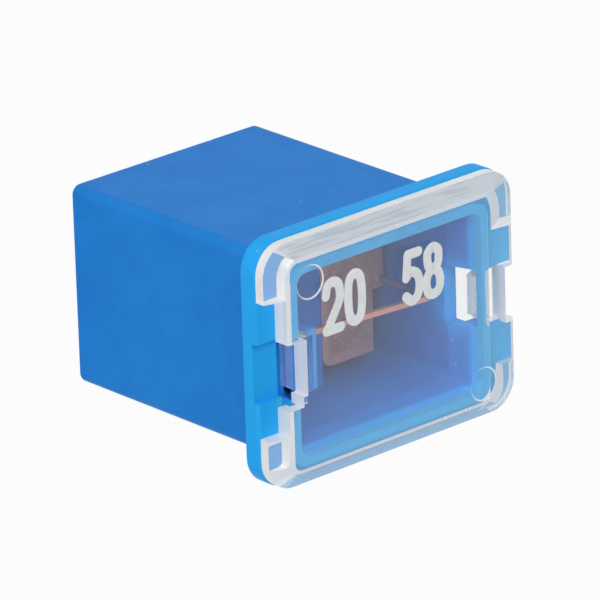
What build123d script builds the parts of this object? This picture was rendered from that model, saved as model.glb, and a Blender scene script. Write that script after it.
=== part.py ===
from build123d import *
import os
from math import atan2, degrees

# Low-profile box fuse link: blue housing, clear latched cover and one folded copper stamping.
#
# The part stands on the rim of its terminal end. +Z leads out of the window, X runs along the
# window's long side and Y along its short side. Millimetres.

# Housing: the body, its flange under the cover and the collar around the window
body_x = 11.9
body_y = 10.0
body_offset_y = -0.24        # the body sits a little below the middle of the flange
body_corner_r = 0.5
rim_edge_r = 0.25
body_height = 14.0           # rim to the underside of the flange
flange_x = 15.7
flange_y = 12.1
flange_thickness = 1.05
flange_corner_r = 1.5
flange_edge_r = 0.18
collar_x = 12.4
collar_y = 9.9
collar_height = 0.32
collar_corner_r = 0.7
window_x = 11.6              # clear opening inside the collar
window_y = 9.0
window_corner_r = 0.6
chamber_x = 10.4             # inside of the body below the tapered mouth
chamber_y = 8.4
chamber_corner_r = 0.4
mouth_depth = 1.77           # the opening narrows from the collar to the chamber over this depth
floor_thickness = 1.0
partition_thickness = 0.9
partition_height = 8.0       # above the floor
guide_rib_x = 0.8
guide_rib_height = 7.2
blade_slot_x = 1.9
blade_slot_y = 6.8
blade_lead_in = 0.45         # bevel around each blade slot, on the rim side

# Snap joints at the two short sides
snap_high = 1.2              # upper end of the side notches, from the middle of the flange
snap_low = -1.6
snap_clearance = 0.05        # from the housing's notches to the cover's
catch_bar_height = 0.2       # how far the catch bar reaches below the flange face
latch_window_drop = 0.6      # the latch's window in the body's wall starts this far below the flange
bridge_drop = 0.3            # the bridge outside the tongue slot is this much lower
tongue_outer_x = 6.26
tongue_thickness = 0.79
tongue_slot_gap = 0.13
tongue_foot = 1.2            # lower end of the tongue's width, below the middle of the flange
nub_r = 0.16
latch_thickness = 0.74
latch_gap = 0.06             # between the latch and the collar
hook_reach = 0.5
hook_height = 0.6
hook_gap = 0.1               # under the catch bar
hook_side_gap = 0.35
snap_end_gap = 0.12          # the latch and the tongue end this far above the flange's underside

# Cover
cover_inset = 0.05           # from the flange's outline
cover_base_thickness = 0.53  # thickness at the ears and along the edges
cover_rise = 0.37            # the raised face above that
cover_bevel_y = 0.65         # width of the bevel along both long sides
face_half_x = 6.7            # raised face between the ears
cover_end_bevel = 0.25       # width of the bevel at both short sides, where no ear or notch is
ear_slope = 0.22             # lean of the walls around the ears
ear_end_y = 3.35             # ears start here, from the middle of the flange
ear_land = 0.15              # flat top left between an ear and the bevel beside it
pocket_gap = 0.05            # around the collar
pocket_headroom = 0.03
ejector_r = 0.86
ejector_depth = 0.05
ejector_marks = ((-5.25, 3.9), (5.5, -4.25))

# Fuse element, folded from one copper sheet
sheet = 0.4
terminal_side_gap = 0.2      # from a terminal to the walls of its cell
terminal_y = 7.2
terminal_corner_r = 0.7
terminal_height = 8.8        # floor to the top of the terminals
roof_y = 6.9
roof_corner_r = 0.6
roof_bend_r = 0.6            # outer radius of the fold between a terminal's back and its roof
roof_seam = 0.12             # open seam between the roof and the walls below it
relief_x = 1.1               # the lower half of the roof ends this far short of the terminal's back
relief_y = -0.35
relief_depth = 1.8
seam_width = 0.15            # open seam of the folded sleeve
spring_window_y = 5.0
spring_window_end = 1.0      # from a spring's window to the terminal's ends
spring_side_gap = 0.2
spring_thickness = 0.3
blade_gap = 0.7              # between the springs, closed on a 0.8 mm blade
spring_contact_height = 3.2  # contact line above the floor
spring_toe_lift = 1.3
spring_bend_r = 1.2
strip_width = 0.26
strip_thickness = 0.25
strip_drop = 1.39            # top of the strip below the flange face
strip_reach = 4.4            # middle of the body to the outside of each riser
strip_bend_r = 0.45
strip_middle_y = 0.17
strip_skew_y = 0.44          # the strip runs down by this much from one riser to the other

# Levels and places that follow from the sizes above
flange_face = body_height + flange_thickness
collar_top = flange_face + collar_height
mouth_bottom = collar_top - mouth_depth
base_top = flange_face + cover_base_thickness
cover_top = base_top + cover_rise
cover_x = flange_x - 2 * cover_inset
cover_y = flange_y - 2 * cover_inset
cell_x = (chamber_x - partition_thickness) / 2
cell_middle_x = partition_thickness / 2 + cell_x / 2
terminal_x = cell_x - 2 * terminal_side_gap
terminal_back_x = cell_middle_x + terminal_x / 2
roof_z = floor_thickness + terminal_height
strip_top_z = flange_face - strip_drop
pocket_top = collar_top + pocket_headroom
snap_end_z = body_height + snap_end_gap
latch_inner_x = collar_x / 2 + latch_gap
latch_outer_x = latch_inner_x + latch_thickness


def block(x_from, x_to, y_from, y_to, z_from, z_to):
    """Box between two corners."""
    size = (x_to - x_from, y_to - y_from, z_to - z_from)
    middle = ((x_from + x_to) / 2, (y_from + y_to) / 2, (z_from + z_to) / 2)
    return Pos(*middle) * Box(*size)


def slab(size_x, size_y, radius, z_from, z_to, middle_y=0.0):
    """Upright prism with rounded corners."""
    outline = Plane.XY.offset(z_from) * Pos(0, middle_y) * RectangleRounded(size_x, size_y, radius)
    return extrude(outline, z_to - z_from)


def mouth(lower, upper, z_from, z_to, middle_x=0.0):
    """Tapered prism between two rounded outlines, each given as (x, y, corner radius)."""
    place = Pos(middle_x, body_offset_y)
    low = Plane.XY.offset(z_from) * place * RectangleRounded(*lower)
    high = Plane.XY.offset(z_to) * place * RectangleRounded(*upper)
    return loft([low, high])


def ring_edges(solid):
    """Edges around the top and the bottom of an upright prism."""
    levels = solid.edges().group_by(Axis.Z)
    return levels[0] + levels[-1]


def housing_shell():
    """Outer form: body, flange and collar."""
    body = slab(body_x, body_y, body_corner_r, 0, body_height, body_offset_y)
    body = fillet(body.edges().group_by(Axis.Z)[0], rim_edge_r)
    flange = slab(flange_x, flange_y, flange_corner_r, body_height, flange_face)
    flange = fillet(ring_edges(flange), flange_edge_r)
    collar = slab(collar_x, collar_y, collar_corner_r, flange_face, collar_top, body_offset_y)
    return body + flange + collar


def chamber():
    """Hollow of the housing: two terminal cells under one tapered mouth."""
    hollow = slab(chamber_x, chamber_y, chamber_corner_r, floor_thickness, mouth_bottom,
                  body_offset_y)
    hollow += mouth((chamber_x, chamber_y, chamber_corner_r), (window_x, window_y, window_corner_r),
                    mouth_bottom, collar_top)
    half_wall = partition_thickness / 2
    hollow -= block(-half_wall, half_wall, -body_y, body_y, 0, floor_thickness + partition_height)
    return hollow


def guide_ribs():
    """Ribs in both cells that hold the terminals in the middle of the body's width."""
    rib_top = floor_thickness + guide_rib_height
    rib_face = terminal_y / 2 + terminal_side_gap / 2
    ribs = Part()
    for side in (-1, 1):
        for wall in (-1, 1):
            middle_y = body_offset_y + wall * (rib_face + body_y / 2 - rim_edge_r) / 2
            depth = body_y / 2 - rim_edge_r - rib_face
            height = rib_top - floor_thickness / 2
            rib = Box(guide_rib_x, depth, height)
            ribs += Pos(side * cell_middle_x, middle_y, floor_thickness / 2 + height / 2) * rib
    return ribs


def blade_slot(side):
    """Slot in the floor for one blade, bevelled on the rim side."""
    wide = (blade_slot_x + 2 * blade_lead_in, blade_slot_y + 2 * blade_lead_in, blade_lead_in)
    narrow = (blade_slot_x, blade_slot_y, blade_lead_in / 2)
    middle = side * cell_middle_x
    slot = mouth(wide, narrow, 0, blade_lead_in, middle)
    return slot + mouth(narrow, narrow, blade_lead_in, floor_thickness, middle)


def latch_notch():
    """Open notch in the flange for the latch, and the window for its hook under the catch bar."""
    low, high = snap_low - snap_clearance, snap_high + snap_clearance
    notch = block(collar_x / 2, flange_x, low, high, body_height, flange_face)
    window_bottom = body_height - latch_window_drop
    bar_bottom = flange_face - catch_bar_height
    return notch + block(chamber_x / 2 - rim_edge_r, flange_x, low, high, window_bottom, bar_bottom)


def tongue_slot():
    """Slot for the tongue behind a lowered bridge, with a groove for the nub."""
    low, high = snap_low - snap_clearance, snap_high + snap_clearance
    bridge_x = -(tongue_outer_x + tongue_slot_gap)
    slot = block(bridge_x, -chamber_x / 2 + rim_edge_r, low, high, body_height, collar_top)
    slot += block(-flange_x, bridge_x, low, high, flange_face - bridge_drop, flange_face)
    groove = Cylinder(nub_r + snap_clearance, high - low, rotation=(90, 0, 0))
    return slot + Pos(-tongue_outer_x, (low + high) / 2, nub_z()) * groove


def nub_z():
    """Height of the nub and its groove."""
    return (snap_end_z + flange_face - bridge_drop) / 2


def housing():
    """Blue housing in one piece."""
    part = housing_shell() - chamber()
    part += guide_ribs()
    for side in (-1, 1):
        part -= blade_slot(side)
    return part - latch_notch() - tongue_slot()


def ear_cut(side_x, side_y):
    """Pocket that leaves one ear at base height, with leaning walls."""
    inner, outer = face_half_x, cover_x
    near, far = ear_end_y, cover_y / 2 - cover_bevel_y - ear_land
    lean = ear_slope
    floor = Plane.XY.offset(base_top) * Pos((inner + lean + outer) / 2, (near + lean + far) / 2)
    floor *= Rectangle(outer - inner - lean, far - near - lean)
    mouth_plane = Plane.XY.offset(cover_top) * Pos((inner + outer) / 2, (near + far) / 2)
    mouth_plane *= Rectangle(outer - inner, far - near)
    cut = loft([floor, mouth_plane])
    if side_x < 0:
        cut = mirror(cut, about=Plane.YZ)
    if side_y < 0:
        cut = mirror(cut, about=Plane.XZ)
    return cut


def cover_plate():
    """Cover without its snaps."""
    corner_r = flange_corner_r - cover_inset
    plate = slab(cover_x, cover_y, corner_r, flange_face, base_top)
    low = Plane.XY.offset(base_top) * RectangleRounded(cover_x, cover_y, corner_r)
    high = Plane.XY.offset(cover_top) * RectangleRounded(
        cover_x - 2 * cover_end_bevel, cover_y - 2 * cover_bevel_y, corner_r - cover_end_bevel)
    plate += loft([low, high])
    for side in (-1, 1):
        for side_y in (-1, 1):
            plate -= ear_cut(side, side_y)
    plate -= block(-cover_x, -face_half_x, -ear_end_y, ear_end_y, flange_face, cover_top)
    plate -= slab(collar_x + 2 * pocket_gap, collar_y + 2 * pocket_gap,
                  collar_corner_r + pocket_gap, flange_face, pocket_top, body_offset_y)
    for mark_x, mark_y in ejector_marks:
        middle_z = cover_top - ejector_depth / 2
        plate -= Pos(mark_x, mark_y, middle_z) * Cylinder(ejector_r, ejector_depth)
    return plate


def tongue():
    """Tongue of the cover with its nub."""
    inner = tongue_outer_x - tongue_thickness
    leg = block(-tongue_outer_x, -inner, -tongue_foot, snap_high, snap_end_z, pocket_top)
    nub = Cylinder(nub_r, snap_high + tongue_foot, rotation=(90, 0, 0))
    leg += Pos(-tongue_outer_x, (snap_high - tongue_foot) / 2, nub_z()) * nub
    return leg


def latch():
    """Latch of the cover with its hook under the catch bar."""
    inner = latch_inner_x
    low, high = snap_low + snap_end_gap, snap_high
    leg = block(inner, latch_outer_x, low, high, snap_end_z, pocket_top)
    hook_top = flange_face - catch_bar_height - hook_gap
    hook = Plane.XZ * Polygon((inner, hook_top), (inner - hook_reach, hook_top),
                              (inner - hook_reach, hook_top - hook_height / 3),
                              (inner, hook_top - hook_height), align=None)
    hook = extrude(hook, (high - low) / 2 - hook_side_gap, both=True)
    return leg + Pos(0, (low + high) / 2, 0) * hook


def cover():
    """Clear cover in one piece."""
    part = cover_plate()
    part -= block(-cover_x, -tongue_outer_x, snap_low, snap_high, flange_face, cover_top)
    part -= block(latch_outer_x, cover_x, snap_low, snap_high, flange_face, cover_top)
    return part + tongue() + latch()


def spring(facing):
    """One spring leaf of the right terminal; facing is 1 on its back and -1 on its front."""
    root_x = terminal_x / 2 - sheet / 2
    contact_x = blade_gap / 2 + spring_thickness / 2
    root_z = roof_z - sheet - spring_window_end
    contact_z = floor_thickness + spring_contact_height
    toe = (root_x - sheet, contact_z - 1.6 * spring_toe_lift)
    line = FilletPolyline((root_x, root_z + spring_thickness), (root_x, root_z - spring_toe_lift / 2),
                          (contact_x, contact_z), toe, radius=spring_bend_r)
    leaf = Plane.XZ * trace(line, spring_thickness)
    leaf = extrude(leaf, spring_window_y / 2 - spring_side_gap, both=True)
    if facing < 0:
        leaf = mirror(leaf, about=Plane.YZ)
    return Pos(cell_middle_x, 0, 0) * leaf


def terminal_sleeve():
    """Folded sleeve of the right terminal with its spring windows, around the cell's middle."""
    top = roof_z - sheet - roof_seam
    middle = Pos(cell_middle_x, 0, 0)
    outer = slab(terminal_x, terminal_y, terminal_corner_r, floor_thickness, top)
    inner = slab(terminal_x - 2 * sheet, terminal_y - 2 * sheet, terminal_corner_r - sheet,
                 floor_thickness, top)
    sleeve = middle * (outer - inner)
    sleeve -= block(cell_middle_x, cell_middle_x + seam_width, -terminal_y, 0, floor_thickness, top)
    half_y = spring_window_y / 2
    sleeve -= block(0, terminal_back_x + sheet, -half_y, half_y,
                    floor_thickness + spring_window_end, top - spring_window_end)
    return sleeve


def roof():
    """Roof of the right terminal, folded over from its back."""
    bend_y = roof_y - 2 * roof_corner_r
    outline = Plane.XZ * Polygon((terminal_back_x - 2 * roof_bend_r, roof_z),
                                 (terminal_back_x, roof_z), (terminal_back_x, roof_z - 2 * roof_bend_r),
                                 (terminal_back_x - sheet, roof_z - 2 * roof_bend_r),
                                 (terminal_back_x - sheet, roof_z - sheet),
                                 (terminal_back_x - 2 * roof_bend_r, roof_z - sheet), align=None)
    fold = extrude(outline, bend_y / 2, both=True)
    outer_edge = fold.edges().filter_by(Axis.Y).sort_by(lambda e: e.center().X + e.center().Z)[-1]
    fold = fillet(outer_edge, roof_bend_r)
    inner_edge = fold.edges().filter_by(Axis.Y).sort_by(
        lambda e: abs(e.center().X - terminal_back_x + sheet) + abs(e.center().Z - roof_z + sheet))[0]
    fold = fillet(inner_edge, roof_bend_r - sheet)
    plate_x = terminal_x - roof_bend_r
    plate = slab(plate_x, roof_y, roof_corner_r, roof_z - sheet, roof_z)
    plate = Pos(cell_middle_x - roof_bend_r / 2, 0, 0) * plate
    return plate + fold


def terminal():
    """Right terminal: sleeve, springs and roof, cut back at one corner of its top."""
    part = terminal_sleeve() + roof()
    part -= block(terminal_back_x - relief_x, terminal_back_x + sheet, -terminal_y, relief_y,
                  roof_z - relief_depth, roof_z + sheet)
    for facing in (-1, 1):
        part += spring(facing)
    return part


def bridge():
    """Fusible strip: a riser on each terminal's roof and the thin link across the window."""
    riser_x = strip_reach - strip_thickness / 2
    level = strip_top_z - strip_thickness / 2
    foot = roof_z - sheet / 2
    line = FilletPolyline((-riser_x, foot), (-riser_x, level), (riser_x, level), (riser_x, foot),
                          radius=strip_bend_r)
    strip = extrude(Plane.XZ * trace(line, strip_thickness), strip_width / 2, both=True)
    turn = -degrees(atan2(strip_skew_y, 2 * riser_x))
    return Pos(0, strip_middle_y - body_offset_y, 0) * Rot(0, 0, turn) * strip


def fuse_element():
    """Copper element in one piece."""
    right = terminal()
    return Pos(0, body_offset_y, 0) * (right + mirror(right, about=Plane.YZ) + bridge())


def main():
    """Write one STEP file for each piece."""
    os.makedirs("parts", exist_ok=True)
    export_step(housing(), "parts/housing.step")
    export_step(cover(), "parts/cover.step")
    export_step(fuse_element(), "parts/fuse_element.step")


if __name__ == "__main__":
    main()
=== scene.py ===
"""Looks of a low-profile box fuse: blue housing, clear latched cover and copper element."""
import logging
import math
from abc import ABC, abstractmethod
from dataclasses import dataclass
from enum import Enum, IntEnum
from functools import cached_property
from typing import Sequence

import bmesh
import bpy
from bmesh.types import BMEdge, BMesh, BMVert
from bpy.types import (Material, Mesh, MeshPolygon, NodeInputs, NodeOutputs, NodeSocket, NodeTree,
                       Object)
from mathutils import Matrix, Vector


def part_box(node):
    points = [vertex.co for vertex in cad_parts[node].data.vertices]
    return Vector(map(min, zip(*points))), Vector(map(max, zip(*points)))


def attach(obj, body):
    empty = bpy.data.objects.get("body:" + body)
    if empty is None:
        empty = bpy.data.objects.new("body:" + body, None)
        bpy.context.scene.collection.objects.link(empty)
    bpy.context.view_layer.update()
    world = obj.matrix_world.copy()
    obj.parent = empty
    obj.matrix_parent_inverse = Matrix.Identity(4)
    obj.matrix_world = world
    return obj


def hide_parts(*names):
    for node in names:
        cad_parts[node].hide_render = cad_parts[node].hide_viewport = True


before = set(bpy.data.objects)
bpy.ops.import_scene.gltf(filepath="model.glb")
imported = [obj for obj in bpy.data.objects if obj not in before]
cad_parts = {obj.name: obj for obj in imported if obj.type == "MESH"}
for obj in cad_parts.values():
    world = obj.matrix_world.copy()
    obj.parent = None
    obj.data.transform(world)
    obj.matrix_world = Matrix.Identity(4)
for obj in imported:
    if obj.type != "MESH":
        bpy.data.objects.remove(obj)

LOG = logging.getLogger("box_fuse")
MM = 0.001
FLAT = math.radians(0.5)  # faces that bend less than this are one face
Colour = tuple[float, float, float]
Point = tuple[float, float]
Spot = tuple[float, float, float]
Level = tuple[float, Sequence[Point]]
Stroke = Sequence[tuple[float, float, int]]


class Node(Enum):
    """CAD nodes that this scene dresses."""

    HOUSING = "housing"
    COVER = "cover"
    ELEMENT = "fuse_element"


class Slot(Enum):
    """Material slots of the record."""

    HOUSING = "housing_blue"
    COVER = "cover_clear"
    ELEMENT = "element_copper"


class Numeral(Enum):
    """Plain numerals printed on the cover, as strokes in shares of a numeral's width and height."""

    TWO = (((-0.46, 0.24, 1), (-0.34, 0.44, 1), (0.0, 0.5, 1), (0.36, 0.42, 1), (0.46, 0.22, 1),
            (0.36, 0.02, 1), (-0.46, -0.5, 0)),
           ((-0.46, -0.5, 0), (0.48, -0.5, 0)))
    ZERO = (((0.0, 0.5, 1), (-0.36, 0.38, 1), (-0.46, 0.0, 1), (-0.36, -0.38, 1), (0.0, -0.5, 1),
             (0.36, -0.38, 1), (0.46, 0.0, 1), (0.36, 0.38, 1), (0.0, 0.5, 1)),)
    FIVE = (((0.42, 0.5, 0), (-0.3, 0.5, 0)),
            ((-0.3, 0.5, 0), (-0.42, 0.02, 0)),
            ((-0.42, 0.02, 1), (-0.1, 0.12, 1), (0.34, 0.02, 1), (0.46, -0.2, 1), (0.32, -0.42, 1),
             (-0.06, -0.5, 1), (-0.46, -0.38, 1)))
    EIGHT = (((0.0, 0.5, 1), (-0.34, 0.41, 1), (-0.38, 0.27, 1), (-0.3, 0.12, 1), (0.0, 0.04, 1),
              (0.3, 0.12, 1), (0.38, 0.27, 1), (0.34, 0.41, 1), (0.0, 0.5, 1)),
             ((0.0, 0.04, 1), (-0.36, -0.07, 1), (-0.46, -0.25, 1), (-0.36, -0.43, 1),
              (0.0, -0.5, 1), (0.36, -0.43, 1), (0.46, -0.25, 1), (0.36, -0.07, 1),
              (0.0, 0.04, 1)))


@dataclass
class Wiring:
    """A node tree that is being wired.

    Args:
        tree: The tree of a material, a world or a group.
    """

    tree: NodeTree

    def add(self, kind: str, settings: dict | None = None, **inputs: object) -> bpy.types.Node:
        """Adds a node.

        Args:
            kind: Blender's name of the node type.
            settings: Attributes of the node itself.
            **inputs: Socket names, with _ for each space, and a value or a socket to link.

        Returns:
            The new node.
        """
        node = self.tree.nodes.new(kind)
        for name, value in (settings or {}).items():
            setattr(node, name, value)
        for name, value in inputs.items():
            self.feed(node.inputs[name.replace("_", " ")], value)
        return node

    def feed(self, socket: NodeSocket, value: object) -> None:
        """Gives a socket its value or its link.

        Args:
            socket: The input socket.
            value: A socket to link, a number, a colour or a vector.
        """
        if isinstance(value, NodeSocket):
            self.tree.links.new(value, socket)
        elif socket.type == "RGBA" and len(value) == 3:
            socket.default_value = (*value, 1.0)
        else:
            socket.default_value = value

    def maths(self, operation: str, *values: object, clamp: bool = False) -> NodeSocket:
        """Adds a Math node.

        Args:
            operation: Blender's name of the operation.
            *values: Its inputs in order, as numbers or sockets.
            clamp: Whether the result stays between 0 and 1.

        Returns:
            The node's result.
        """
        node = self.add("ShaderNodeMath", {"operation": operation, "use_clamp": clamp})
        for socket, value in zip(node.inputs, values):
            self.feed(socket, value)
        return node.outputs[0]

    def spread(self, value: object, low: float, high: float, to_low: object = 0.0,
               to_high: object = 1.0) -> NodeSocket:
        """Maps a range of values smoothly onto another.

        Args:
            value: The socket that is mapped.
            low, high: Where the range starts and ends.
            to_low, to_high: Results at the start and at the end.

        Returns:
            The mapped value.
        """
        node = self.add("ShaderNodeMapRange", {"interpolation_type": "SMOOTHSTEP"})
        for name, part in (("Value", value), ("From Min", low), ("From Max", high),
                           ("To Min", to_low), ("To Max", to_high)):
            self.feed(node.inputs[name], part)
        return node.outputs["Result"]

    def blend(self, share: object, first: object, second: object) -> NodeSocket:
        """Mixes two colours.

        Args:
            share: How much of the second shows.
            first, second: Colours or sockets.

        Returns:
            The mixed colour.
        """
        node = self.add("ShaderNodeMix", {"data_type": "RGBA"})
        self.feed(node.inputs[0], share)
        self.feed(node.inputs[6], first)
        self.feed(node.inputs[7], second)
        return node.outputs[2]

    def place(self) -> NodeSocket:
        """Point on the surface in the part's own frame, in metres."""
        return self.add("ShaderNodeTexCoord").outputs["Object"]

    def vectors(self, operation: str, first: object, second: object) -> bpy.types.Node:
        """Adds a Vector Math node.

        Args:
            operation: Blender's name of the operation.
            first, second: Vectors or sockets.

        Returns:
            The new node.
        """
        node = self.add("ShaderNodeVectorMath", {"operation": operation})
        self.feed(node.inputs[0], first)
        self.feed(node.inputs[1], second)
        return node

    def group(self, tree: NodeTree, **inputs: object) -> NodeOutputs:
        """Places a node group.

        Args:
            tree: The group.
            **inputs: Values or sockets for its inputs.

        Returns:
            Its outputs.
        """
        return self.add("ShaderNodeGroup", {"node_tree": tree}, **inputs).outputs


class Effects:
    """Shader node groups that several finishes use. Each is built once, when first asked for."""

    COLOURS = {"Light", "Dark", "Color"}

    def _start(self, name: str, inputs: Sequence[str], outputs: Sequence[str]
               ) -> tuple[Wiring, NodeOutputs, NodeInputs]:
        """Starts a node group.

        Args:
            name: The group's name.
            inputs: Names of its inputs, which each use gives its own values.
            outputs: Names of its outputs.

        Returns:
            The wiring, what the group is given and what it puts out.
        """
        tree = bpy.data.node_groups.new(name, "ShaderNodeTree")
        for way, labels in (("INPUT", inputs), ("OUTPUT", outputs)):
            for label in labels:
                kind = "NodeSocketColor" if label in self.COLOURS else "NodeSocketFloat"
                tree.interface.new_socket(label, in_out=way, socket_type=kind)
        net = Wiring(tree)
        return net, net.add("NodeGroupInput").outputs, net.add("NodeGroupOutput").inputs

    @cached_property
    def mottle(self) -> NodeTree:
        """Cloudy change between two colours, at two scales.

        Returns:
            The node group.
        """
        net, given, result = self._start("mottle", ("Light", "Dark", "Scale", "Amount"),
                                         ("Color", "Mask"))
        finer, wide_share, fine_share = 7.0, 0.7, 0.3
        place = net.place()
        wide = net.add("ShaderNodeTexNoise", Vector=place, Scale=given["Scale"], Detail=3.0)
        fine = net.add("ShaderNodeTexNoise", Vector=place, Detail=2.0,
                       Scale=net.maths("MULTIPLY", given["Scale"], finer))
        both = net.maths("ADD", net.maths("MULTIPLY", wide.outputs["Fac"], wide_share),
                         net.maths("MULTIPLY", fine.outputs["Fac"], fine_share))
        mask = net.maths("MULTIPLY", net.spread(both, 0.35, 0.65), given["Amount"])
        net.feed(result["Color"], net.blend(mask, given["Light"], given["Dark"]))
        net.feed(result["Mask"], mask)
        return net.tree

    @cached_property
    def scratches(self) -> NodeTree:
        """Fine handling scratches in two directions.

        Returns:
            The node group.
        """
        net, given, result = self._start("scratches", ("Scale", "Turn", "Amount"), ("Mask",))
        layers = []
        for share, stretch in ((1.0, 22.0), (-1.7, 30.0)):
            angle = net.maths("MULTIPLY", given["Turn"], share)
            turned = net.add("ShaderNodeVectorRotate", {"rotation_type": "Z_AXIS"},
                             Vector=net.place(), Angle=angle)
            long = net.vectors("MULTIPLY", turned.outputs[0], (1.0, stretch, stretch))
            noise = net.add("ShaderNodeTexNoise", Vector=long.outputs[0], Detail=1.0,
                            Scale=given["Scale"])
            layers.append(net.spread(noise.outputs["Fac"], 0.66, 0.74))
        both = net.maths("MAXIMUM", *layers)
        net.feed(result["Mask"], net.maths("MULTIPLY", both, given["Amount"]))
        return net.tree

    @cached_property
    def specks(self) -> NodeTree:
        """Scattered fine dust.

        Returns:
            The node group.
        """
        net, given, result = self._start("specks", ("Scale", "Size", "Share"), ("Mask",))
        cells = net.add("ShaderNodeTexVoronoi", Vector=net.place(), Scale=given["Scale"]).outputs
        chance = net.add("ShaderNodeSeparateColor", Color=cells["Color"])
        chosen = net.maths("LESS_THAN", chance.outputs[0], given["Share"])
        near = net.maths("LESS_THAN", cells["Distance"], given["Size"])
        net.feed(result["Mask"], net.maths("MULTIPLY", chosen, near))
        return net.tree


@dataclass(frozen=True)
class Finish(ABC):
    """Look of one kind of surface."""

    @abstractmethod
    def shader(self, net: Wiring, effects: Effects) -> NodeSocket:
        """Wires the surface's shader.

        Args:
            net: The material's wiring.
            effects: The shared node groups.

        Returns:
            The shader.
        """

    def make(self, name: str, effects: Effects) -> Material:
        """Builds the material.

        Args:
            name: Its name.
            effects: The shared node groups.

        Returns:
            The material.
        """
        material = bpy.data.materials.new(name)
        material.use_nodes = True
        material.node_tree.nodes.clear()
        net = Wiring(material.node_tree)
        net.add("ShaderNodeOutputMaterial", Surface=self.shader(net, effects))
        return material


@dataclass(frozen=True)
class MouldedPlastic(Finish):
    """Glossy opaque moulded plastic. Places and heights are in metres.

    Args:
        colour: The plastic.
        deep: The same where it is a little darker.
        light: The same with a painted glow in the thin flange, for the light that gets through it.
        covered_lit: Painted light: the same, lighter, where the cover lies on the flange.
        dust: Its specks.
        glow_from, glow_lift: Where the painted glow starts, and how much higher in the window.
        glow_fade: Height over which it grows outside and inside the window.
        flange_glow_share, glow_share: How much of the painted glow shows in the flange and around
            the opening.
        covered_from, covered_fade: Where the painted lighter tone beneath the cover starts and how
            fast it grows.
        covered_x: Where along X it grows, so that the flange's bare left side keeps its tone.
        mouth: Half the size of the window, and how far its middle lies below the flange's.
        opening: Middle of the latch's opening, around which the wall is thin too and gets the
            painted glow.
        glow_reach: Where full and no painted glow end around it.
        roughness: Of the clean surface.
        bump_height: Height of its unevenness.
    """

    colour: Colour = (0.021, 0.242, 0.7)
    deep: Colour = (0.016, 0.202, 0.63)
    light: Colour = (0.026, 0.44, 0.96)
    covered_lit: Colour = (0.06, 0.45, 0.75)
    dust: Colour = (0.35, 0.5, 0.72)
    glow_from: float = 0.0137
    glow_lift: float = 0.0008
    glow_fade: Point = (0.0006, 0.001)
    flange_glow_share: float = 0.85
    covered_from: float = 0.01503
    covered_fade: float = 0.00004
    covered_x: Point = (-0.0068, -0.0066)
    mouth: Spot = (0.0058, 0.0045, 0.00024)
    opening: Spot = (0.0056, -0.0002, 0.0141)
    glow_reach: Point = (0.0012, 0.0024)
    glow_share: float = 0.75
    roughness: float = 0.3
    bump_height: float = 0.000012

    def shader(self, net: Wiring, effects: Effects) -> NodeSocket:
        """Wires the shader: see Finish.shader()."""
        mottle = net.group(effects.mottle, Light=self.colour, Dark=self.deep, Scale=420.0,
                           Amount=0.55)
        scratches = net.group(effects.scratches, Scale=260.0, Turn=0.7, Amount=0.6)["Mask"]
        specks = net.group(effects.specks, Scale=1900.0, Size=0.14, Share=0.05)["Mask"]
        at = net.add("ShaderNodeSeparateXYZ", Vector=net.place()).outputs
        across = net.maths("DIVIDE", net.maths("ABSOLUTE", at["X"]), self.mouth[0])
        along = net.maths("ABSOLUTE", net.maths("ADD", at["Y"], self.mouth[2]))
        reach = net.maths("MAXIMUM", across, net.maths("DIVIDE", along, self.mouth[1]))
        outside = net.spread(reach, 0.93, 1.0)
        inner = self.glow_from + self.glow_lift
        start = net.spread(outside, 0.0, 1.0, inner, self.glow_from)
        full = net.spread(outside, 0.0, 1.0, inner + self.glow_fade[1],
                          self.glow_from + self.glow_fade[0])
        # Painted glow: the thin flange and the wall around the latch's opening get the lighter
        # tone, for light that gets through them.
        away = net.vectors("DISTANCE", net.place(), self.opening).outputs["Value"]
        thin = net.maths("MAXIMUM", net.spread(away, *self.glow_reach, self.glow_share, 0.0),
                         net.spread(at["Z"], start, full, 0.0, self.flange_glow_share))
        # Painted light: a lighter tone where the cover lies on the flange, off its bare left side.
        lit_under_cover = net.maths("MULTIPLY", net.spread(at["X"], *self.covered_x), net.spread(
            at["Z"], self.covered_from - self.covered_fade, self.covered_from))
        plastic = net.blend(thin, mottle["Color"], net.blend(lit_under_cover, self.light, self.covered_lit))
        marked = net.blend(net.maths("MULTIPLY", specks, 0.5), plastic, self.dust)
        rough = net.maths("ADD", net.maths("MULTIPLY", mottle["Mask"], 0.08),
                          net.maths("MULTIPLY", scratches, 0.14))
        bump = net.add("ShaderNodeBump", Strength=0.25, Distance=self.bump_height,
                       Height=net.maths("SUBTRACT", mottle["Mask"], scratches))
        return net.add(
            "ShaderNodeBsdfPrincipled", Base_Color=marked, IOR=1.5, Specular_IOR_Level=0.025,
            Normal=bump.outputs[0], Roughness=net.maths("ADD", rough, self.roughness)).outputs[0]


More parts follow.
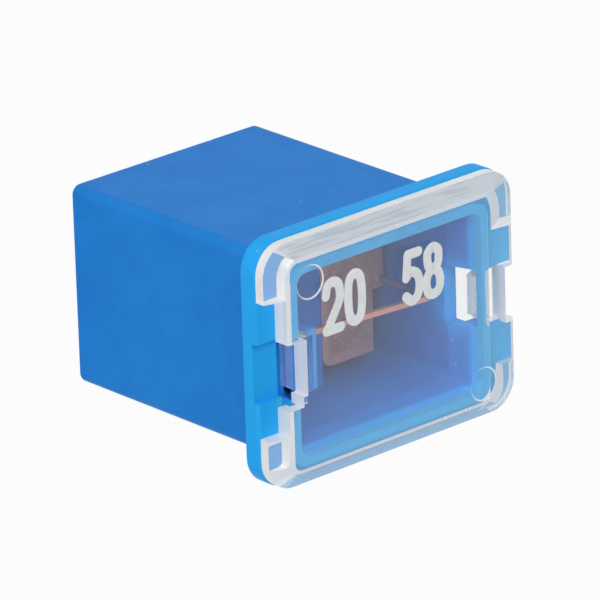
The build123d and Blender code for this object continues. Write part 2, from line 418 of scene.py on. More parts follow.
@dataclass(frozen=True)
class ClearPlastic(Finish):
    """Clear moulded plastic. The same resin looks pale and frosted on its steep edges.

    Args:
        tint: Colour of the plastic.
        haze: Share of the light that it scatters.
        ior: Its refractive index.
        roughness: Of its faces.
        streak, streak_shade: Colour of the streaks along the window, and how much of it shows.
        streak_length: How many times longer than wide they are.
        streak_roughness: Added along them.
        mark_height: Depth of its scratches in metres.
        lamp_tint: What it takes from the lamps' light, which it lets through to what is behind.
    """

    tint: Colour = (0.93, 0.955, 0.97)
    haze: float = 0.035
    ior: float = 1.58
    roughness: float = 0.02
    streak: Colour = (0.5, 0.53, 0.56)
    streak_length: float = 14.0
    streak_roughness: float = 0.0
    streak_shade: float = 0.0
    mark_height: float = 0.000004
    lamp_tint: Colour = (0.9, 0.93, 0.95)

    def shader(self, net: Wiring, effects: Effects) -> NodeSocket:
        """Wires the shader: see Finish.shader()."""
        scratches = net.group(effects.scratches, Scale=60.0, Turn=1.1, Amount=1.0)["Mask"]
        specks = net.group(effects.specks, Scale=1500.0, Size=0.12, Share=0.05)["Mask"]
        long = net.vectors("MULTIPLY", net.place(), (1.0, *[self.streak_length] * 2))
        streaks = net.add("ShaderNodeTexNoise", Vector=long.outputs[0], Scale=420.0,
                          Detail=3.0).outputs["Fac"]
        streaky = net.maths("MULTIPLY", streaks, self.streak_roughness)
        rough = net.maths("ADD", streaky, net.maths("MULTIPLY", scratches, 0.1))
        height = net.maths("SUBTRACT", net.maths("MULTIPLY", streaky, 3.0), scratches)
        bump = net.add("ShaderNodeBump", Strength=0.3, Distance=self.mark_height, Height=height)
        line = net.maths("MULTIPLY", net.spread(streaks, 0.48, 0.6), self.streak_shade)
        colour = net.blend(specks, net.blend(line, self.tint, self.streak), (1.0, 1.0, 1.0))
        plastic = net.add(
            "ShaderNodeBsdfPrincipled", Base_Color=colour, IOR=self.ior,
            Transmission_Weight=1.0 - self.haze, Normal=bump.outputs[0],
            Roughness=net.maths("ADD", rough, self.roughness))
        lamps = net.add("ShaderNodeBsdfTransparent", Color=self.lamp_tint)
        path = net.add("ShaderNodeLightPath")
        passing = net.add("ShaderNodeMixShader", Fac=path.outputs["Is Shadow Ray"])
        net.feed(passing.inputs[1], plastic.outputs[0])
        net.feed(passing.inputs[2], lamps.outputs[0])
        return passing.outputs[0]


@dataclass(frozen=True)
class CopperSheet(Finish):
    """Rolled copper alloy sheet, slightly dull. Places and heights are in metres.

    Args:
        bright: Fresh metal.
        dull: Tarnished metal.
        highlight_and_wear: Painted highlight on the strip and along the terminals' edges, also the
            colour of its specks of scuffed metal.
        dark: Painted shade on the strip's two risers.
        roughness: Of the fresh metal.
        metallic: How metallic it is.
        bump_height: Height of its unevenness.
        terminal: Middle of the right terminal along X and half its width.
        roof: Middle of both roofs along Y and half their length.
        highlight_edge, highlight_share: Share of that half where the painted edge highlight starts
            and is full,
        and how much of it shows.
        riser_z: Lower and upper end of the risers.
        riser_fade: Height over which the painted shade grows below and fades above.
    """

    bright: Colour = (0.9, 0.46, 0.34)
    dull: Colour = (0.5, 0.22, 0.17)
    highlight_and_wear: Colour = (1.0, 0.45, 0.36)
    dark: Colour = (0.2, 0.23, 0.4)
    roughness: float = 0.45
    metallic: float = 0.6
    bump_height: float = 0.00001
    terminal: Point = (0.00275, 0.00205)
    roof: Point = (-0.00024, 0.0036)
    highlight_edge: Point = (0.74, 0.92)
    highlight_share: float = 0.85
    riser_z: Point = (0.0099, 0.0133)
    riser_fade: Point = (0.0002, 0.0001)

    def shader(self, net: Wiring, effects: Effects) -> NodeSocket:
        """Wires the shader: see Finish.shader()."""
        mottle = net.group(effects.mottle, Light=self.bright, Dark=self.dull, Scale=330.0,
                           Amount=0.6)
        grain = net.group(effects.scratches, Scale=520.0, Turn=0.05, Amount=1.0)["Mask"]
        specks = net.group(effects.specks, Scale=3600.0, Size=0.3, Share=0.5)["Mask"]
        rough = net.maths("ADD", net.maths("MULTIPLY", mottle["Mask"], 0.2),
                          net.maths("MULTIPLY", grain, 0.15))
        bump = net.add("ShaderNodeBump", Strength=0.3, Distance=self.bump_height,
                       Height=net.maths("SUBTRACT", mottle["Mask"], grain))
        at = net.add("ShaderNodeSeparateXYZ", Vector=net.place()).outputs
        (middle_x, half_x), (middle_y, half_y) = self.terminal, self.roof
        (low, high), (fade_in, fade_out) = self.riser_z, self.riser_fade
        from_middle = net.maths("SUBTRACT", net.maths("ABSOLUTE", at["X"]), middle_x)
        across = net.maths("DIVIDE", net.maths("ABSOLUTE", from_middle), half_x)
        along = net.maths("ABSOLUTE", net.maths("SUBTRACT", at["Y"], middle_y))
        edge = net.maths("MAXIMUM", across, net.maths("DIVIDE", along, half_y))
        # Painted highlight along the terminals' edges and over the whole strip above the risers,
        # plus specks of scuffed metal.
        highlight_and_wear_mask = net.maths("MAXIMUM", net.spread(edge, *self.highlight_edge, 0.0, self.highlight_share),
                           net.spread(at["Z"], high, high + fade_out))
        highlight_and_wear_mask = net.maths("MAXIMUM", highlight_and_wear_mask, net.maths("MULTIPLY", specks, 0.7))
        metal = net.blend(highlight_and_wear_mask, mottle["Color"], self.highlight_and_wear)
        # Painted shade: the risers are painted dark between the ends in riser_z.
        riser_shade_mask = net.maths("MULTIPLY", net.spread(at["Z"], low, low + fade_in),
                          net.spread(at["Z"], high + fade_out, high))
        return net.add(
            "ShaderNodeBsdfPrincipled", Base_Color=net.blend(riser_shade_mask, metal, self.dark),
            Metallic=self.metallic, Normal=bump.outputs[0],
            Roughness=net.maths("ADD", rough, self.roughness)).outputs[0]


@dataclass(frozen=True)
class PrintingInk(Finish):
    """Opaque printed ink.

    Args:
        colour: The ink.
        thin: The same where it is printed thinly.
        roughness: Of the ink.
        bump_height: Height of its unevenness in metres.
    """

    colour: Colour = (0.92, 0.94, 0.93)
    thin: Colour = (0.72, 0.77, 0.79)
    roughness: float = 0.42
    bump_height: float = 0.000008

    def shader(self, net: Wiring, effects: Effects) -> NodeSocket:
        """Wires the shader: see Finish.shader()."""
        mottle = net.group(effects.mottle, Light=self.colour, Dark=self.thin, Scale=1500.0,
                           Amount=0.5)
        bump = net.add("ShaderNodeBump", Strength=0.4, Distance=self.bump_height,
                       Height=mottle["Mask"])
        rough = net.maths("ADD", mottle["Mask"], self.roughness)
        return net.add("ShaderNodeBsdfPrincipled", Base_Color=mottle["Color"], IOR=1.48,
                       Roughness=rough, Normal=bump.outputs[0]).outputs[0]


def seen(net: Wiring) -> NodeSocket:
    """Tells whether a surface is seen directly, in a reflection or through something clear.

    Args:
        net: The material's or the world's wiring.

    Returns:
        1 where it is.
    """
    path = net.add("ShaderNodeLightPath").outputs
    mirrored = net.maths("ADD", path["Is Glossy Ray"], path["Is Transmission Ray"])
    return net.maths("ADD", path["Is Camera Ray"], mirrored, clamp=True)


@dataclass(frozen=True)
class StudioPaper(Finish):
    """Matt pale paper that looks white and keeps a soft shadow.

    Args:
        dark: The paper.
        light: The same where it is a little lighter.
        white_share: How much of what is seen is plain white.
    """

    dark: Colour = (0.8, 0.8, 0.8)
    light: Colour = (0.84, 0.84, 0.84)
    white_share: float = 0.95

    def shader(self, net: Wiring, effects: Effects) -> NodeSocket:
        """Wires the shader: see Finish.shader()."""
        noise = net.add("ShaderNodeTexNoise", Vector=net.place(), Scale=60.0, Detail=4.0)
        paper = net.blend(noise.outputs["Fac"], self.dark, self.light)
        matt = net.add("ShaderNodeBsdfPrincipled", Base_Color=paper, Roughness=0.9)
        white = net.add("ShaderNodeEmission", Color=(1.0, 1.0, 1.0), Strength=1.0)
        share = net.maths("MULTIPLY", seen(net), self.white_share)
        mix = net.add("ShaderNodeMixShader", Fac=share)
        net.feed(mix.inputs[1], matt.outputs[0])
        net.feed(mix.inputs[2], white.outputs[0])
        return mix.outputs[0]


def rounded(low: Point, high: Point, radii: Sequence[float], steps: int = 8) -> list[Point]:
    """Outline of a rectangle with rounded corners, from its lower left corner on.

    Args:
        low: Its lowest x and y.
        high: Its highest x and y.
        radii: Radius of each corner: lower left, lower right, upper right and upper left.
        steps: Parts that each corner has.

    Returns:
        Points against the clock.
    """
    corners = ((low[0], low[1], 1, 1, 180), (high[0], low[1], -1, 1, 270),
               (high[0], high[1], -1, -1, 0), (low[0], high[1], 1, -1, 90))
    points = []
    for (x, y, to_x, to_y, start), r in zip(corners, radii):
        for step in range(steps + 1):
            angle = math.radians(start + 90 * step / steps)
            points.append((x + to_x * r + r * math.cos(angle),
                           y + to_y * r + r * math.sin(angle)))
    return points


def box(x_from: float, x_to: float, y_from: float, y_to: float, z_from: float,
        z_to: float) -> list[Level]:
    """Levels of an upright block.

    Args:
        x_from, x_to: Its left and right side.
        y_from, y_to: Its lower and upper side.
        z_from, z_to: Its bottom and top.

    Returns:
        Both levels.
    """
    outline = [(x_from, y_from), (x_to, y_from), (x_to, y_to), (x_from, y_to)]
    return [(z_from, outline), (z_to, outline)]


def stacked(levels: Sequence[Level]) -> Mesh:
    """Closed mesh through outlines that lie one above the other.

    Args:
        levels: Heights and outlines from below, all with as many points.

    Returns:
        The mesh, in the unit of the points.
    """
    work = bmesh.new()
    rings = [[work.verts.new((x, y, z)) for x, y in outline] for z, outline in levels]
    for lower, upper in zip(rings, rings[1:]):
        for i, vertex in enumerate(lower):
            after = (i + 1) % len(lower)
            work.faces.new((vertex, lower[after], upper[after], upper[i]))
    work.faces.new(rings[0][::-1])
    work.faces.new(rings[-1])
    bmesh.ops.recalc_face_normals(work, faces=work.faces)
    mesh = bpy.data.meshes.new("tool")
    work.to_mesh(mesh)
    work.free()
    return mesh


def combined(body: Mesh, operation: str, details: Sequence[Sequence[Level]]) -> Mesh:
    """Cuts details from a body or joins them to it.

    Args:
        body: The mesh that changes.
        operation: Blender's name of the operation.
        details: Levels of each detail.

    Returns:
        The new mesh.
    """
    for levels in details:
        thing = bpy.data.objects.new("body", body)
        cutter = bpy.data.objects.new("tool", stacked(levels))
        for item in (thing, cutter):
            bpy.context.scene.collection.objects.link(item)
        change = thing.modifiers.new("change", "BOOLEAN")
        change.operation = operation
        change.solver = "EXACT"
        change.object = cutter
        bpy.context.view_layer.update()
        changed = thing.evaluated_get(bpy.context.evaluated_depsgraph_get())
        body = bpy.data.meshes.new_from_object(changed)
        for item in (thing, cutter):
            bpy.data.objects.remove(item)
    return body


def clean(work: BMesh, weld: float) -> None:
    """Merges points that lie together and faces that lie in one plane.

    Args:
        work: The mesh, in millimetres.
        weld: Distance within which points are merged.
    """
    bmesh.ops.remove_doubles(work, verts=work.verts, dist=weld)
    bmesh.ops.dissolve_limit(work, angle_limit=FLAT, verts=work.verts, edges=work.edges,
                             delimit={"NORMAL"})


@dataclass
class Piece:
    """Something that rides on the part.

    Args:
        name: Name of the object.
        slot: The record's material slot; not used.
    """

    name: str
    slot: Slot

    def add(self, mesh: Mesh, material: Material) -> Object:
        """Puts the mesh in the scene and lets it ride on the part.

        Args:
            mesh: The finished mesh.
            material: Its finish.

        Returns:
            The new object.
        """
        mesh.materials.clear()
        mesh.materials.append(material)
        thing = bpy.data.objects.new(self.name, mesh)
        bpy.context.scene.collection.objects.link(thing)
        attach(thing, "root")
        LOG.info("%s: %d faces", self.name, len(mesh.polygons))
        return thing


@dataclass
class Moulding(Piece):
    """A piece with the shape of its CAD node and rounded edges. Sizes are in millimetres.

    Args:
        node: The CAD node that it stands for.
        edge_r: Width of the rounding.
        sharp_from: Edges that bend by more than this are rounded, in degrees.
        crease_from: Edges that bend by more than this are shaded sharp, in degrees.
        node_weld, weld: Points nearer than this are merged, before and after the details.
        cuts: Details cut from it, each as levels of an outline.
        fills: Details joined to it.
        splits: Heights where the finish changes.
    """

    node: Node = Node.HOUSING
    edge_r: float = 0.06
    sharp_from: float = 32.0
    crease_from: float = 60.0
    node_weld: float = 0.0005
    weld: float = 0.002
    cuts: Sequence[Sequence[Level]] = ()
    fills: Sequence[Sequence[Level]] = ()
    splits: Sequence[float] = ()

    def body(self) -> Mesh:
        """Copies the node's mesh.

        Returns:
            The copy, in millimetres.
        """
        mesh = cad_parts[self.node.value].data.copy()
        work = bmesh.new()
        work.from_mesh(mesh)
        bmesh.ops.scale(work, vec=Vector((1, 1, 1)) / MM, verts=work.verts)
        clean(work, self.node_weld)
        work.to_mesh(mesh)
        work.free()
        return mesh

    def shape(self) -> Mesh:
        """Gives the body its details and rounds its edges.

        Returns:
            The new mesh, in metres.
        """
        mesh = combined(self.body(), "DIFFERENCE", self.cuts)
        mesh = combined(mesh, "UNION", self.fills)
        mesh.name = self.name
        work = bmesh.new()
        work.from_mesh(mesh)
        clean(work, self.weld)
        limit = math.radians(self.sharp_from)
        edges = [e for e in work.edges
                 if len(e.link_faces) == 2 and e.calc_face_angle(0.0) > limit and self.rounds(e)]
        bmesh.ops.bevel(work, geom=edges, offset=self.edge_r, offset_type="OFFSET", segments=2,
                        profile=0.5, affect="EDGES", clamp_overlap=True, miter_outer="ARC")
        for height in self.splits:
            everything = [*work.verts, *work.edges, *work.faces]
            bmesh.ops.bisect_plane(work, geom=everything, dist=self.node_weld,
                                   plane_co=(0, 0, height), plane_no=(0, 0, 1))
        bmesh.ops.triangulate(work, faces=[f for f in work.faces if len(f.verts) > 4])
        bmesh.ops.scale(work, vec=Vector((1, 1, 1)) * MM, verts=work.verts)
        work.to_mesh(mesh)
        work.free()
        mesh.shade_smooth()
        mesh.set_sharp_from_angle(angle=math.radians(self.crease_from))
        straight = 0.99995  # a face that looks along an axis shows no false bend when flat
        for face in mesh.polygons:
            if max(abs(share) for share in face.normal) > straight:
                face.use_smooth = False
        return mesh

    def rounds(self, edge: BMEdge) -> bool:
        """Tells whether a sharp edge is rounded.

        Args:
            edge: The edge, in millimetres.

        Returns:
            Whether it is: here each one.
        """
        return True

    def build(self, material: Material) -> Object:
        """Adds the piece in place of its node.

        Args:
            material: Its finish.

        Returns:
            The new object.
        """
        thing = self.add(self.shape(), material)
        even = thing.modifiers.new("even_faces", "WEIGHTED_NORMAL")
        even.keep_sharp = True
        even.weight = 90
        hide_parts(self.node.value)
        return thing


@dataclass
class BlueHousing(Moulding):
    """The blue housing, with details that its node lacks. Sizes are in millimetres."""

    cuts: Sequence[Sequence[Level]] = (
        box(-6.39, -5.33, -2.15, -1.6, 14.0, 15.6),  # the notch goes on below the tongue
        box(5.0, 5.7, -1.6, 1.2, 14.6, 15.6),        # the catch bar gets thinner on its inside,
        box(5.0, 6.4, -1.6, 1.2, 14.6, 15.05),       # below
        box(6.0, 6.4, -1.6, 1.2, 15.0, 15.6))        # and beside the latch
    fills: Sequence[Sequence[Level]] = (
        box(-5.4, -4.45, -1.7, 1.25, 12.6, 13.95),   # foot of the wall behind the tongue
        box(-4.9, -4.45, -1.7, 1.25, 13.9, 15.05),   # that wall
        box(-0.45, 0.45, -4.5, 4.02, 8.8, 10.0),     # top of the wall between the terminals
        box(-1.3, -0.4, -4.5, 4.02, 9.87, 10.0))     # its lip over the left terminal's edge


class Look(IntEnum):
    """Finishes of the clear cover, in the order of its material slots."""

    POLISHED = 0
    WALLS = 1
    BEVELS = 2
    EARS = 3


@dataclass
class ClearCover(Moulding):
    """The clear cover, shaped after the photograph. Sizes are in millimetres.

    Args:
        seat_z: Its underside, a hair above the flange face.
        ledge_z, face_z: Top of its ears and its raised face.
        pocket_z: Headroom for the collar.
        foot_z: Lower end of the tongue.
        outline, corner_r: Half its size and the radius of its corners.
        face_low, face_high, face_radii: Lower left and upper right corner of the raised face,
            and how round its corners are.
        rim: Width and depth of the narrow slope around the raised face.
        pocket_low, pocket_high: Lower left and upper right corner of the collar's pocket.
        pocket_r: Radius of its corners.
        wall: Thickness of the wall beside the step below the tongue.
        ears: Floor and mouth of the pocket that leaves each ear.
        tongue_x, tongue_y: Outside and inside of the tongue, its lower and upper end.
        notch_x, notch_y: Inside and lower end of the step below the tongue.
        ear_end_y: Where the ears start, from the middle.
        latch, latch_y: Inside and outside of the latch, lower and upper end of its notch.
        latch_gap: From the notch's lower end to the latch.
        hook_z, hook_reach: Top of the latch's hook, and how far it reaches inwards.
        hook_inset: From the latch's sides to the hook.
        marks, mark_r: Middles and radius of the ejector marks.
        mark_slope, mark_depth: Width of the slope around them, and how deep they lie.
        above: Where the cuts end, clear of the face.
        hair: Distance within which a point counts as on a place.
    """

    seat_z: float = 15.062
    ledge_z: float = 15.58
    face_z: float = 15.95
    pocket_z: float = 15.38
    foot_z: float = 14.04
    outline: Point = (7.8, 6.0)
    corner_r: float = 1.45
    face_low: Point = (-6.69, -5.34)
    face_high: Point = (7.5, 5.22)
    face_radii: Sequence[float] = (0.6, 1.1, 1.1, 0.7)
    rim: Point = (0.2, 0.06)
    pocket_low: Point = (-6.208, -5.6)
    pocket_high: Point = (6.208, 4.718)
    pocket_r: float = 0.75
    wall: float = 0.45
    ears: Sequence[tuple[Sequence[Point], Sequence[Point]]] = (
        # upper left
        (((-8.4, 3.57), (-6.98, 3.57), (-6.98, 4.4), (-6.93, 4.7), (-6.8, 4.98), (-6.62, 5.2),
          (-6.4, 5.36), (-7.24, 5.84), (-8.4, 6.5)),
         ((-8.4, 3.35), (-6.69, 3.35), (-6.69, 4.3), (-6.64, 4.58), (-6.52, 4.83), (-6.34, 5.02),
          (-6.1, 5.16), (-7.1, 5.86), (-8.4, 6.6))),
        # lower left
        (((-8.4, -4.8), (-7.2, -4.74), (-7.03, -4.66), (-6.98, -4.5), (-6.98, -3.57),
          (-8.4, -3.57)),
         ((-8.4, -5.02), (-7.1, -4.96), (-6.8, -4.84), (-6.69, -4.6), (-6.69, -3.35),
          (-8.4, -3.35))),
        # upper right
        (((8.4, 5.36), (7.35, 5.22), (6.69, 5.12), (6.86, 4.86), (6.98, 4.55), (7.06, 4.15),
          (7.07, 3.55), (8.4, 3.45)),
         ((8.4, 5.6), (7.35, 5.4), (5.8, 5.1), (5.98, 4.86), (6.09, 4.55), (6.15, 4.15),
          (6.15, 3.3), (8.4, 3.15))),
        # lower right
        (((8.4, -6.6), (6.2, -6.3), (6.3, -5.88), (6.67, -5.66), (6.92, -5.4),
          (7.08, -5.05), (7.12, -4.6), (7.08, -3.85), (8.4, -3.8)),
         ((8.4, -6.7), (6.1, -6.5), (5.3, -5.3), (5.64, -5.18), (5.94, -4.98), (6.14, -4.72),
          (6.22, -4.3), (6.3, -3.4), (8.4, -3.35))))
    tongue_x: Point = (-5.57, -4.97)
    tongue_y: Point = (-1.6, 1.15)
    notch_x: float = -5.83
    notch_y: float = -2.1
    ear_end_y: float = 3.35
    latch: Point = (6.26, 7.0)
    latch_y: Point = (-1.6, 1.2)
    latch_gap: float = 0.12
    hook_z: float = 14.75
    hook_reach: float = 0.5
    hook_inset: float = 0.35
    marks: Sequence[Point] = ((-5.25, 3.9), (5.5, -4.25))
    mark_r: float = 0.85
    mark_slope: float = 0.07
    mark_depth: float = 0.05
    above: float = 16.1
    hair: float = 0.02

    def body(self) -> Mesh:
        """Shapes the plate with its raised face.

        Returns:
            The mesh, in millimetres.
        """
        reach_x, reach_y = self.outline
        edge = rounded((-reach_x, -reach_y), (reach_x, reach_y), [self.corner_r] * 4)
        width, depth = self.rim
        (x_low, y_low), (x_high, y_high) = self.face_low, self.face_high
        slope = rounded(self.face_low, self.face_high, self.face_radii)
        face = rounded((x_low + width, y_low + width), (x_high - width, y_high - width),
                       [r - width for r in self.face_radii])
        return stacked([(self.seat_z, edge), (self.ledge_z, edge), (self.face_z - depth, slope),
                        (self.face_z, face)])

    def ear(self, floor: Sequence[Point], mouth: Sequence[Point]) -> list[Level]:
        """Pocket that leaves an ear, with leaning walls that go on above the face.

        Args:
            floor: Outline at the ear's height.
            mouth: Outline at the face's height.

        Returns:
            Its levels.
        """
        share = (self.above - self.face_z) / (self.face_z - self.ledge_z)
        beyond = [(x + (x - a) * share, y + (y - b) * share)
                  for (a, b), (x, y) in zip(floor, mouth)]
        return [(self.ledge_z, floor), (self.face_z, mouth), (self.above, beyond)]

    def mark(self, x: float, y: float) -> list[Level]:
        """Shallow round ejector mark with a sloped rim.

        Args:
            x, y: Its middle.

        Returns:
            Its levels.
        """
        floor, mouth = [rounded((x - r, y - r), (x + r, y + r), [r] * 4)
                        for r in (self.mark_r - self.mark_slope, self.mark_r)]
        return [(self.face_z - self.mark_depth, floor), (self.face_z, mouth), (self.above, mouth)]

    def hook(self) -> list[Level]:
        """Hook of the latch, which leans on its lower side.

        Returns:
            Its levels.
        """
        inner, tip = self.latch[0], self.latch[0] - self.hook_reach
        low = self.latch_y[0] + self.latch_gap + self.hook_inset
        high = self.latch_y[1] - self.hook_inset
        return [box(x, inner + 0.1, low, high, z, z + 1)[0]
                for x, z in ((inner - self.hair, self.hook_z - 0.6), (tip, self.hook_z - 0.4),
                             (tip, self.hook_z))]

    def shape(self) -> Mesh:
        """Cuts the ears, the notches and the pocket, and adds the tongue and the latch.

        Returns:
            The new mesh, in metres.
        """
        low, high = self.tongue_y
        x_low, tongue_inside = self.pocket_low[0], self.tongue_x[1]
        step_x = self.notch_x + self.wall
        pocket = rounded(self.pocket_low, self.pocket_high, [self.pocket_r] * 4)
        pocket += [(x_low, high), (tongue_inside, high), (tongue_inside, low), (step_x, low),
                   (step_x, self.notch_y), (x_low, self.notch_y)]
        below = self.seat_z - 1
        far = self.outline[0] + 1
        self.cuts = [
            *(self.ear(*outlines) for outlines in self.ears),
            [(below, pocket), (self.pocket_z, pocket)],
            box(-far, self.face_low[0], -self.ear_end_y, self.ear_end_y, below, self.above),
            box(-far, self.tongue_x[0], low, high, below, self.above),
            box(-far, self.notch_x, self.notch_y, low + 0.01, below, self.above),
            box(self.latch[1], far, *self.latch_y, below, self.above),
            *(self.mark(x, y) for x, y in self.marks)]
        self.fills = [
            box(*self.tongue_x, low, high, self.foot_z, self.seat_z + 0.1),
            box(*self.latch, self.latch_y[0] + self.latch_gap, self.latch_y[1],
                self.foot_z + 0.08, self.pocket_z + 0.05),
            self.hook()]
        self.splits = (self.seat_z + 0.01,)
        return super().shape()

    def in_pocket(self, point: Vector) -> bool:
        """Tells whether a point lies in or on the pocket for the collar, off tongue and latch.

        Args:
            point: The point, in millimetres.

        Returns:
            Whether it does.
        """
        x, y, z = point
        (x_low, y_low), (x_high, y_high) = self.pocket_low, self.pocket_high
        on_tongue = x < self.tongue_x[0] + self.hair / 2 and self.notch_y < y < self.ear_end_y
        on_latch = x > self.latch[0] - self.hair / 2 and self.latch_y[0] < y < self.latch_y[1]
        return (x_low - self.hair < x < x_high + self.hair
                and y_low - self.hair < y < y_high + self.hair
                and self.seat_z - self.hair < z < self.pocket_z + self.hair
                and not on_tongue and not on_latch)

    def on_mark(self, point: Vector) -> bool:
        """Tells whether a point lies in or on an ejector mark.

        Args:
            point: The point, in millimetres.

        Returns:
            Whether it does.
        """
        return point.z > self.ledge_z and any(
            math.hypot(point.x - x, point.y - y) < self.mark_r + self.hair for x, y in self.marks)

    def rounds(self, edge: BMEdge) -> bool:
        """Tells whether a sharp edge is rounded.

        Args:
            edge: The edge, in millimetres.

        Returns:
            Whether it is: those of the pocket and the marks aren't.
        """
        return not all(self.in_pocket(end.co) or self.on_mark(end.co) for end in edge.verts)

    def look(self, face: MeshPolygon) -> Look:
        """Chooses the finish of a face.

        Args:
            face: The face.

        Returns:
            The finish.
        """
        middle, normal = face.center / MM, face.normal
        up = normal.z
        level, rim, sloped, leaning, hanging = 0.98, 0.945, 0.85, 0.2, -0.5
        on_latch = middle.x > self.latch[0] - self.hair / 2 - self.hook_reach
        if up < hanging or self.in_pocket(middle) or (
                middle.z < self.seat_z + self.hair and not on_latch):
            return Look.POLISHED
        if self.on_mark(middle):
            return Look.WALLS if up < level else Look.POLISHED
        if up > level:
            return Look.EARS if middle.z < self.face_z - 0.2 else Look.POLISHED
        if up > rim:
            return Look.WALLS
        if up > sloped and normal.y > 0.3:
            return Look.BEVELS
        if up > leaning and normal.y < -0.3:
            return Look.EARS
        return Look.WALLS

    def finish(self, thing: Object, walls: Material,
               bevels: Material, ears: Material) -> None:
        """Dresses the faces that aren't polished.

        Args:
            thing: The cover.
            walls: Finish of the upright walls and of the narrow slopes.
            bevels: Finish of the bevel along the upper side.
            ears: Finish of the ears and of the bevel along the lower side.
        """
        for material in (walls, bevels, ears):
            thing.data.materials.append(material)
        for face in thing.data.polygons:
            face.material_index = self.look(face)


@dataclass
class Numerals(Piece):
    """Plain numerals printed on the cover's face. Sizes are in millimetres.

    Args:
        width, height: Size of one numeral between the middles of its strokes.
        stroke: Width of a stroke.
        ink: Thickness of the ink.
        bends: Parts that each piece of a bend and each round end has.
        miter: Least share of a stroke's width that a corner keeps.
        places: Each numeral and the place of its middle.
    """

    width: float = 0.94
    height: float = 2.32
    stroke: float = 0.49
    ink: float = 0.02
    bends: int = 8
    miter: float = 0.45
    places: Sequence[tuple[Numeral, float, float]] = (
        (Numeral.TWO, -3.89, 2.37), (Numeral.ZERO, -2.52, 2.4),
        (Numeral.FIVE, 1.1, 2.37), (Numeral.EIGHT, 2.41, 2.33))

    def path(self, stroke: Stroke) -> list[Point]:
        """Smooth line through a stroke's points.

        Args:
            stroke: Points with 1 where the line runs through smoothly and 0 at a corner.

        Returns:
            Points along the line, in millimetres.
        """
        points = [(x * self.width, y * self.height) for x, y, _ in stroke]
        smooth = [bool(s) for _, _, s in stroke]
        closed = stroke[0] == stroke[-1]
        last = len(points) - 1
        line: list[Point] = []
        for i in range(last):
            before = points[i - 1] if i and smooth[i] else points[last - 1] if closed else points[i]
            after = points[i + 2] if i + 2 <= last and smooth[i + 1] else (
                points[1] if closed and i + 1 == last else points[i + 1])
            steps = self.bends if smooth[i] or smooth[i + 1] else 1
            for step in range(steps):
                line.append(self._between(before, points[i], points[i + 1], after, step / steps))
        line.append(points[last])
        return line

    @staticmethod
    def _between(a: Point, b: Point, c: Point, d: Point, share: float) -> Point:
        """Point of a Catmull-Rom curve between b and c.

        Args:
            a, b, c, d: Four points in a row.
            share: How far from b to c.

        Returns:
            The point.
        """
        weights = (-share + 2 * share**2 - share**3, 2 - 5 * share**2 + 3 * share**3,
                   share + 4 * share**2 - 3 * share**3, share**3 - share**2)
        return tuple(sum(w * p[k] for w, p in zip(weights, (a, b, c, d))) / 2 for k in (0, 1))

    def outline(self, line: Sequence[Point]) -> tuple[list[Vector], list[Vector]]:
        """Left and right edges of a stroke that follows a line.

        Args:
            line: Its middle.

        Returns:
            Both edges.
        """
        middle = [Vector(p) for p in line]
        closed = (middle[0] - middle[-1]).length < 1e-6
        left, right = [], []
        for i, point in enumerate(middle):
            before = middle[i - 1] if i else middle[-2] if closed else point
            after = middle[i + 1] if i + 1 < len(middle) else middle[1] if closed else point
            first, second = (point - before), (after - point)
            first = first.normalized() if first.length else second.normalized()
            second = second.normalized() if second.length else first
            along = (first + second).normalized()
            side = Vector((-along.y, along.x))
            reach = self.stroke / 2 / max(self.miter, side.dot(Vector((-first.y, first.x))))
            left.append(point + side * reach)
            right.append(point - side * reach)
        return left, right

    def ribbon(self, work: BMesh, stroke: Stroke, place: Vector) -> None:
        """Adds one stroke with round ends.

        Args:
            work: The mesh that grows.
            stroke: Its points.
            place: Middle of the numeral on the face.
        """
        line = self.path(stroke)
        left, right = self.outline(line)
        rows = [(work.verts.new(place + Vector((*a, self.ink))),
                 work.verts.new(place + Vector((*b, self.ink)))) for a, b in zip(left, right)]
        for (a, b), (c, d) in zip(rows, rows[1:]):
            work.faces.new((b, d, c, a))
        if stroke[0] == stroke[-1]:
            return
        for end, inner, row in ((line[0], line[1], rows[0]), (line[-1], line[-2], rows[-1])):
            out = (Vector(end) - Vector(inner)).normalized()
            side = Vector((-out.y, out.x))
            arc = []
            for step in range(1, self.bends):
                angle = math.pi * step / self.bends
                turned = side * math.cos(angle) + out * math.sin(angle)
                spot = Vector(end) + turned * self.stroke / 2
                arc.append(work.verts.new(place + Vector((*spot, self.ink))))
            first, second = (row[0], row[1]) if end == line[-1] else (row[1], row[0])
            work.faces.new((first, *arc, second))

    def build(self, material: Material, face_z: float) -> Object:
        """Prints the numerals.

        Args:
            material: The ink.
            face_z: Height of the cover's face in millimetres.

        Returns:
            The new object.
        """
        work = bmesh.new()
        for numeral, x, y in self.places:
            for layer, stroke in enumerate(numeral.value):
                self.ribbon(work, stroke, Vector((x, y, face_z - layer * self.ink / 5)))
        bmesh.ops.recalc_face_normals(work, faces=work.faces)
        for face in work.faces:
            if face.normal.z < 0:
                face.normal_flip()
        skin = bmesh.ops.extrude_face_region(work, geom=list(work.faces))
        lowered = [v for v in skin["geom"] if isinstance(v, BMVert)]
        bmesh.ops.translate(work, vec=(0, 0, -self.ink * 0.9), verts=lowered)
        bmesh.ops.recalc_face_normals(work, faces=work.faces)
        bmesh.ops.scale(work, vec=Vector((1, 1, 1)) * MM, verts=work.verts)
        mesh = bpy.data.meshes.new(self.name)
        work.to_mesh(mesh)
        work.free()
        return self.add(mesh, material)


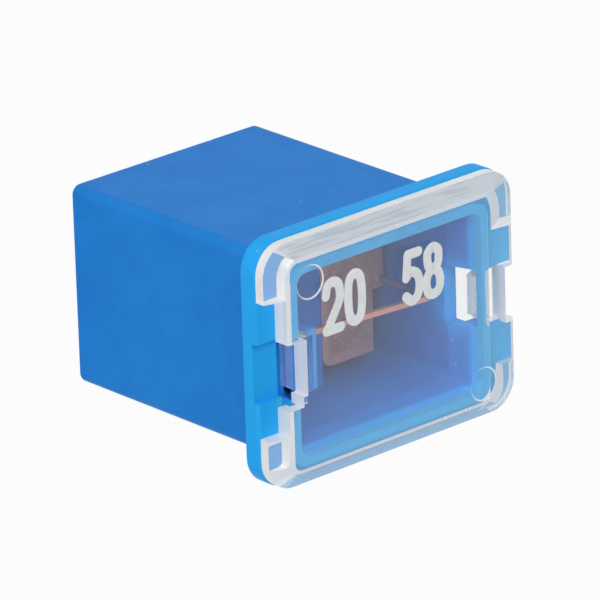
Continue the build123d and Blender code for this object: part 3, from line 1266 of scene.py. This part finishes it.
@dataclass
class Studio:
    """Camera, floor and soft light.

    Args:
        right, up, near: The part's axes as the camera sees them.
        place: Place of the camera in millimetres.
        lens, sensor: Its focal length and the width of its sensor in millimetres.
        floor_reach: Half the side of the floor in metres.
        floor_z: Its height in metres, a hair below the terminal rim.
        sky: Strength of the sky's light on the part.
        ceiling: Height where the sky starts to be darker and where it is darkest.
        ceiling_shade: Colour of the sky there.
        lamps: Name, place, width in metres and power in watts of each lamp.
        aim: What they look at.
    """

    right: Spot = (0.7382, 0.26372, -0.6209)
    up: Spot = (-0.02905, 0.93199, 0.36131)
    near: Spot = (0.67396, -0.24868, 0.69566)
    place: Spot = (-203.8271, 118.3811, 237.7032)
    lens: float = 420.0
    sensor: float = 36.0
    floor_reach: float = 1.5
    floor_z: float = -0.00005
    sky: float = 0.55
    ceiling: Point = (0.3, 0.65)
    ceiling_shade: Colour = (0.5, 0.52, 0.55)
    lamps: Sequence[tuple[str, Spot, float, float]] = (
        ("key", (-0.1, 0.32, 0.28), 0.3, 0.75), ("fill", (-0.38, 0.0, 0.18), 0.3, 0.45),
        ("back", (0.1, -0.4, 0.2), 0.25, 0.3))
    aim: Spot = (0.0, 0.0, 0.008)

    def camera(self) -> None:
        """Sets the camera where the photograph was taken from."""
        data = bpy.data.cameras.new("photo_camera")
        data.lens = self.lens
        data.sensor_width = self.sensor
        data.clip_start = 0.02
        data.clip_end = 10.0
        camera = bpy.data.objects.new("photo_camera", data)
        turn = Matrix((self.right, self.up, self.near)).to_4x4()
        camera.matrix_world = Matrix.Translation(Vector(self.place) * MM) @ turn
        bpy.context.scene.collection.objects.link(camera)
        bpy.context.scene.camera = camera

    def floor(self, paper: Material) -> None:
        """Lays the floor.

        Args:
            paper: Its finish.
        """
        mesh = bpy.data.meshes.new("studio_floor")
        r = self.floor_reach
        z = self.floor_z
        mesh.from_pydata([(-r, -r, z), (r, -r, z), (r, r, z), (-r, r, z)], [], [(0, 1, 2, 3)])
        mesh.materials.append(paper)
        thing = bpy.data.objects.new("studio_floor", mesh)
        bpy.context.scene.collection.objects.link(thing)

    def light(self) -> None:
        """Lights the part softly from all sides, a little more from above and from the left."""
        world = bpy.data.worlds.new("studio_world")
        world.use_nodes = True
        world.node_tree.nodes.clear()
        net = Wiring(world.node_tree)
        strength = net.spread(seen(net), 0.0, 1.0, self.sky, 1.0)
        around = net.add("ShaderNodeTexCoord").outputs["Generated"]
        height = net.add("ShaderNodeSeparateXYZ", Vector=around).outputs["Z"]
        colour = net.blend(net.spread(height, *self.ceiling), (1.0, 1.0, 1.0),
                           self.ceiling_shade)
        sky = net.add("ShaderNodeBackground", Color=colour, Strength=strength)
        net.add("ShaderNodeOutputWorld", Surface=sky.outputs[0])
        bpy.context.scene.world = world
        for name, place, size, power in self.lamps:
            data = bpy.data.lights.new(name, "AREA")
            data.shape = "DISK"
            data.size = size
            data.energy = power
            lamp = bpy.data.objects.new(name, data)
            lamp.location = place
            away = Vector(place) - Vector(self.aim)
            lamp.rotation_euler = away.to_track_quat("Z", "Y").to_euler()
            bpy.context.scene.collection.objects.link(lamp)

    def build(self, paper: Material) -> None:
        """Builds the camera, the floor and the light.

        Args:
            paper: The floor's finish.
        """
        self.camera()
        self.floor(paper)
        self.light()
        bpy.context.scene.view_settings.view_transform = "Standard"


def main() -> None:
    """Builds the part's looks piece by piece."""
    logging.basicConfig(level=logging.INFO, format="%(name)s %(message)s")
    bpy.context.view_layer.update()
    effects = Effects()
    Studio().build(StudioPaper().make("floor_paper", effects))
    BlueHousing("housing_moulding", Slot.HOUSING, Node.HOUSING, edge_r=0.07).build(
        MouldedPlastic().make("blue_moulding", effects))
    cover = ClearCover("cover_moulding", Slot.COVER, Node.COVER, edge_r=0.045)
    cover.finish(
        cover.build(ClearPlastic().make("clear_moulding", effects)),
        ClearPlastic(tint=(0.95, 0.94, 0.93), haze=0.82, roughness=0.2,
                     streak_roughness=0.1).make("clear_walls", effects),
        ClearPlastic(tint=(0.9, 0.89, 0.87), haze=0.75, roughness=0.25, streak_roughness=0.12,
                     streak_shade=0.42).make("clear_bevels", effects),
        ClearPlastic(tint=(0.84, 0.86, 0.87), haze=0.25, roughness=0.15,
                     streak_roughness=0.04).make("clear_ears", effects))
    Moulding("copper_stamping", Slot.ELEMENT, Node.ELEMENT, edge_r=0.05).build(
        CopperSheet().make("copper_sheet", effects))
    face_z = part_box(Node.COVER.value)[1][2] / MM
    Numerals("printed_numerals", Slot.COVER).build(PrintingInk().make("white_ink", effects), face_z)


if __name__ == "__main__":
    main()
